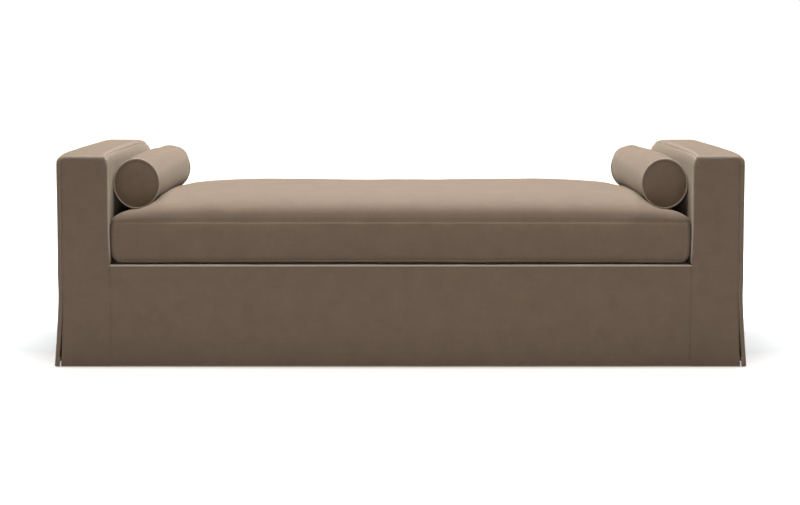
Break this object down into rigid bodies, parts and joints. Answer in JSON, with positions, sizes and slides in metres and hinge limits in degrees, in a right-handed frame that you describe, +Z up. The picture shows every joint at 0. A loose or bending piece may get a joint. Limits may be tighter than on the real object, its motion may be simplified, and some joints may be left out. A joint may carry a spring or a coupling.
{
  "type": "divan",
  "caption": "Backless divan with square padded arms, a skirted velvet cover to the floor with kick pleats, a crowned boxed bench cushion and round bolsters against the arms.",
  "frame": {"origin": "middle of the footprint, on the floor under the glides", "axes": "+X along the length to the right as seen from the front, +Y to the rear, +Z up"},
  "size_m": [2.112, 0.98, 0.645],
  "materials": {
    "taupe_velvet": "short pile velvet",
    "hardwood": "planed",
    "plywood": "sanded",
    "fibreboard": "smooth",
    "stained_wood": "satin stain",
    "black_plastic": "matte",
    "zinc_steel": "zinc plated",
    "spring_steel": "oiled wire",
    "felt": "needled felt",
    "fibre_pad": "bonded fibre",
    "foam": "open cell foam",
    "dust_cloth": "spun cloth",
    "zip_tape": "woven tape",
    "zip_metal": "aged brass"
  },
  "bodies": {
    "divan": {"front_rail": "hardwood", "rear_rail": "hardwood", "left_end_rail": "hardwood", "right_end_rail": "hardwood", "cross_rails": "hardwood", "corner_blocks": "hardwood", "frame_screws": "zinc_steel", "arm_posts": "hardwood", "arm_end_boards": "plywood", "arm_top_boards": "plywood", "arm_tack_rails": "hardwood", "arm_inner_skins": "fibreboard", "arm_outer_skins": "fibreboard", "left_arm_padding": "fibre_pad", "right_arm_padding": "fibre_pad", "feet": "stained_wood", "foot_glides": "black_plastic", "foot_bolts": "zinc_steel", "centre_leg": "stained_wood", "centre_leg_insert": "zinc_steel", "sinuous_springs": "spring_steel", "spring_clips": "zinc_steel", "spring_tie_wires": "spring_steel", "spring_insulator": "felt", "deck_pad": "fibre_pad", "deck_cover": "taupe_velvet", "dust_cover": "dust_cloth", "front_skirt_panel": "taupe_velvet", "rear_skirt_panel": "taupe_velvet", "left_arm_front_cover": "taupe_velvet", "right_arm_front_cover": "taupe_velvet", "left_arm_rear_cover": "taupe_velvet", "right_arm_rear_cover": "taupe_velvet", "left_arm_top_cover": "taupe_velvet", "right_arm_top_cover": "taupe_velvet", "left_arm_inside_cover": "taupe_velvet", "right_arm_inside_cover": "taupe_velvet", "left_outside_cover": "taupe_velvet", "right_outside_cover": "taupe_velvet", "corner_pleats": "taupe_velvet"},
    "seat_cushion": {"seat_core": "foam", "seat_wrap": "fibre_pad", "seat_cover_top": "taupe_velvet", "seat_cover_band": "taupe_velvet", "seat_cover_bottom": "taupe_velvet", "seat_zip": "zip_tape"},
    "left_bolster": {"left_bolster_core": "foam", "left_bolster_cover": "taupe_velvet", "left_bolster_ends": "taupe_velvet", "left_bolster_welts": "taupe_velvet", "left_bolster_zip": "zip_tape"},
    "right_bolster": {"right_bolster_core": "foam", "right_bolster_cover": "taupe_velvet", "right_bolster_ends": "taupe_velvet", "right_bolster_welts": "taupe_velvet", "right_bolster_zip": "zip_tape"},
    "seat_zip_runner": {"seat_zip_slider": "zip_metal"},
    "left_zip_runner": {"left_bolster_zip_slider": "zip_metal"},
    "right_zip_runner": {"right_bolster_zip_slider": "zip_metal"},
    "leveller": {"centre_leg_leveller": "black_plastic"}
  },
  "joints": [
    {"name": "seat_cushion_lift", "type": "slide", "parent": "divan", "child": "seat_cushion", "axis": [0, 0, 1], "range_m": [0, 0.36]},
    {"name": "left_bolster_lift", "type": "slide", "parent": "seat_cushion", "child": "left_bolster", "axis": [0, 0, 1], "range_m": [0, 0.2]},
    {"name": "right_bolster_lift", "type": "slide", "parent": "seat_cushion", "child": "right_bolster", "axis": [0, 0, 1], "range_m": [0, 0.2]},
    {"name": "seat_zip_slide", "type": "slide", "parent": "seat_cushion", "child": "seat_zip_runner", "axis": [1, 0, 0], "range_m": [0, 1.12]},
    {"name": "left_bolster_zip_slide", "type": "slide", "parent": "left_bolster", "child": "left_zip_runner", "axis": [0, 1, 0], "range_m": [0, 0.49]},
    {"name": "right_bolster_zip_slide", "type": "slide", "parent": "right_bolster", "child": "right_zip_runner", "axis": [0, 1, 0], "range_m": [0, 0.49]},
    {"name": "leveller_slide", "type": "slide", "parent": "divan", "child": "leveller", "axis": [0, 0, 1], "range_m": [-0.002, 0.01]}
  ]
}
